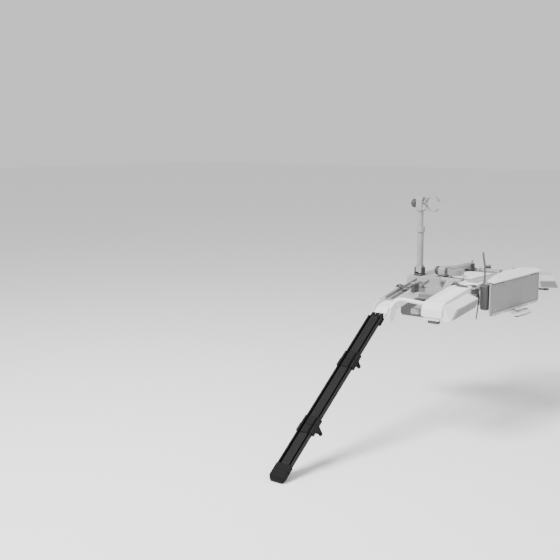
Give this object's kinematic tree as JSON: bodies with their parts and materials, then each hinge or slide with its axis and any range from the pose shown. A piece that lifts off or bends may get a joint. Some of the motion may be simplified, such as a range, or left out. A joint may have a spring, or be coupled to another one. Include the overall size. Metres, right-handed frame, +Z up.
{
  "type": "hitch bike carrier",
  "caption": "Tow-ball mounted folding two-bike platform carrier with wheel trays, rear lights, plate holder and a folding loading ramp.",
  "frame": {"origin": "centre of the tow ball", "axes": "+Z up, +Y towards the car, +X to the car's right; the ground is at z = -0.525 m"},
  "size_m": [1.9893, 0.6806, 1.1078],
  "materials": {
    "pale_plastic": "moulded, fine texture",
    "grey_metal": "matt powder coat",
    "dark_plastic": "moulded, fine texture",
    "steel": "satin",
    "lens": "ribbed lens",
    "black_plastic": "ribbed, slightly glossy",
    "black_rubber": "matt"
  },
  "bodies": {
    "coupling": {"coupling_housing": "dark_plastic", "ball_socket_liner": "steel", "tilt_pin": "steel"},
    "clamp_lever": {"clamp_lever": "grey_metal"},
    "platform": {"platform_frame": "grey_metal", "centre_cover": "grey_metal", "centre_top_pad": "pale_plastic", "rear_bracket": "dark_plastic", "plate_holder": "grey_metal", "plate_hood": "pale_plastic", "plate_lamps": "lens", "pedal_pivot": "steel", "left_wing_hinge_pin": "steel", "right_wing_hinge_pin": "steel", "arm_1_base": "dark_plastic", "arm_2_base": "dark_plastic"},
    "foot_pedal": {"foot_pedal": "pale_plastic"},
    "left_wing": {"left_wing_frame": "grey_metal", "left_front_tray": "grey_metal", "left_rear_tray": "pale_plastic", "left_light_housing": "pale_plastic", "left_light_lens": "lens", "left_wing_handle": "pale_plastic", "left_rear_buckle": "dark_plastic"},
    "left_tray_end": {"left_tray_slider": "pale_plastic", "left_ramp_bar": "steel", "left_front_buckle": "dark_plastic"},
    "left_front_lever": {"left_front_buckle_lever": "grey_metal"},
    "left_rear_lever": {"left_rear_buckle_lever": "grey_metal"},
    "right_wing": {"right_wing_frame": "grey_metal", "right_front_tray": "grey_metal", "right_rear_tray": "pale_plastic", "right_light_housing": "pale_plastic", "right_light_lens": "lens", "right_wing_handle": "pale_plastic", "right_rear_buckle": "dark_plastic"},
    "right_tray_end": {"right_tray_slider": "pale_plastic", "right_ramp_bar": "steel", "right_front_buckle": "dark_plastic"},
    "right_front_lever": {"right_front_buckle_lever": "grey_metal"},
    "right_rear_lever": {"right_rear_buckle_lever": "grey_metal"},
    "arm_1": {"arm_1_post": "grey_metal"},
    "arm_1_head": {"arm_1_clamp_head": "grey_metal"},
    "arm_1_jaw": {"arm_1_clamp_jaw": "grey_metal"},
    "arm_1_knob": {"arm_1_clamp_knob": "dark_plastic"},
    "arm_2": {"arm_2_post": "grey_metal"},
    "arm_2_head": {"arm_2_clamp_head": "grey_metal"},
    "arm_2_jaw": {"arm_2_clamp_jaw": "grey_metal"},
    "arm_2_knob": {"arm_2_clamp_knob": "dark_plastic"},
    "ramp_top": {"ramp_hook": "black_rubber", "ramp_section_1": "black_plastic", "ramp_sleeve_1_upper": "black_rubber", "ramp_hinge_pin_1": "steel"},
    "ramp_middle": {"ramp_section_2": "black_plastic", "ramp_sleeve_1_lower": "black_rubber", "ramp_sleeve_2_upper": "black_rubber", "ramp_hinge_pin_2": "steel"},
    "ramp_bottom": {"ramp_section_3": "black_plastic", "ramp_sleeve_2_lower": "black_rubber", "ramp_foot": "black_rubber"}
  },
  "joints": [
    {"name": "clamp_lever_hinge", "type": "hinge", "parent": "coupling", "child": "clamp_lever", "pos_m": [0.058, 0, 0.01], "axis": [-1, 0, 0], "range_deg": [0, 75]},
    {"name": "platform_tilt", "type": "hinge", "parent": "coupling", "child": "platform", "pos_m": [0, -0.15, 0.02], "axis": [1, 0, 0], "range_deg": [0, 40]},
    {"name": "pedal_press", "type": "hinge", "parent": "platform", "child": "foot_pedal", "pos_m": [0, -0.474, 0.07], "axis": [1, 0, 0], "range_deg": [0, 12], "stiffness_Nm_per_rad": 4, "springref_deg": -20.05},
    {"name": "left_wing_fold", "type": "hinge", "parent": "platform", "child": "left_wing", "pos_m": [-0.205, -0.339, 0.184], "axis": [0, 1, 0], "range_deg": [0, 88]},
    {"name": "left_tray_slide", "type": "slide", "parent": "left_wing", "child": "left_tray_end", "axis": [-0.9816, 0, -0.1908], "range_m": [-0.04, 0.05]},
    {"name": "left_front_lever_lift", "type": "hinge", "parent": "left_tray_end", "child": "left_front_lever", "pos_m": [-0.397, -0.24115, 0.1848], "axis": [0, -1, 0], "range_deg": [0, 70]},
    {"name": "left_rear_lever_lift", "type": "hinge", "parent": "left_wing", "child": "left_rear_lever", "pos_m": [-0.338, -0.52415, 0.1808], "axis": [0, -1, 0], "range_deg": [0, 70]},
    {"name": "right_wing_fold", "type": "hinge", "parent": "platform", "child": "right_wing", "pos_m": [0.205, -0.339, 0.184], "axis": [0, -1, 0], "range_deg": [0, 88]},
    {"name": "right_tray_slide", "type": "slide", "parent": "right_wing", "child": "right_tray_end", "axis": [0.9816, 0, -0.1908], "range_m": [-0.04, 0.05]},
    {"name": "right_front_lever_lift", "type": "hinge", "parent": "right_tray_end", "child": "right_front_lever", "pos_m": [0.397, -0.24115, 0.1848], "axis": [0, 1, 0], "range_deg": [0, 70]},
    {"name": "right_rear_lever_lift", "type": "hinge", "parent": "right_wing", "child": "right_rear_lever", "pos_m": [0.338, -0.52415, 0.1808], "axis": [0, 1, 0], "range_deg": [0, 70]},
    {"name": "arm_1_fold", "type": "hinge", "parent": "platform", "child": "arm_1", "pos_m": [-0.138, -0.1245, 0.214], "axis": [0, 1, 0], "range_deg": [0, 90]},
    {"name": "arm_1_shorten", "type": "slide", "parent": "arm_1", "child": "arm_1_head", "axis": [0, 0, -1], "range_m": [0, 0.07]},
    {"name": "arm_1_knob_turn", "type": "hinge", "parent": "arm_1_head", "child": "arm_1_knob", "pos_m": [-0.138, -0.1045, 0.542], "axis": [0, 1, 0], "range_deg": [0, 810]},
    {"name": "arm_1_jaw_open", "type": "hinge", "parent": "arm_1_head", "child": "arm_1_jaw", "pos_m": [-0.138, -0.15, 0.55], "axis": [-1, 0, 0], "range_deg": [0, 45]},
    {"name": "arm_2_fold", "type": "hinge", "parent": "platform", "child": "arm_2", "pos_m": [0.138, -0.255, 0.214], "axis": [0, 1, 0], "range_deg": [0, 90]},
    {"name": "arm_2_extend", "type": "slide", "parent": "arm_2", "child": "arm_2_head", "axis": [-1, 0, 0], "range_m": [0, 0.07]},
    {"name": "arm_2_knob_turn", "type": "hinge", "parent": "arm_2_head", "child": "arm_2_knob", "pos_m": [-0.12, -0.235, 0.214], "axis": [0, 1, 0], "range_deg": [0, 810]},
    {"name": "arm_2_jaw_open", "type": "hinge", "parent": "arm_2_head", "child": "arm_2_jaw", "pos_m": [-0.128, -0.2805, 0.214], "axis": [0, 0, -1], "range_deg": [0, 45]},
    {"name": "ramp_hook_lift", "type": "hinge", "parent": "left_tray_end", "child": "ramp_top", "pos_m": [-0.615, -0.19, 0.0622], "axis": [0, 1, 0], "range_deg": [0, 75]},
    {"name": "ramp_fold_1", "type": "hinge", "parent": "ramp_top", "child": "ramp_middle", "pos_m": [-0.82502, -0.19, -0.13678], "axis": [0, -1, 0], "range_deg": [0, 150]},
    {"name": "ramp_fold_2", "type": "hinge", "parent": "ramp_middle", "child": "ramp_bottom", "pos_m": [-1.10827, -0.19, -0.37522], "axis": [0, -1, 0], "range_deg": [0, 180]}
  ],
  "couplings": [
    {"joint": "arm_1_jaw_open", "follows": "arm_1_knob_turn", "ratio": 0.055556},
    {"joint": "arm_2_jaw_open", "follows": "arm_2_knob_turn", "ratio": 0.055556}
  ]
}
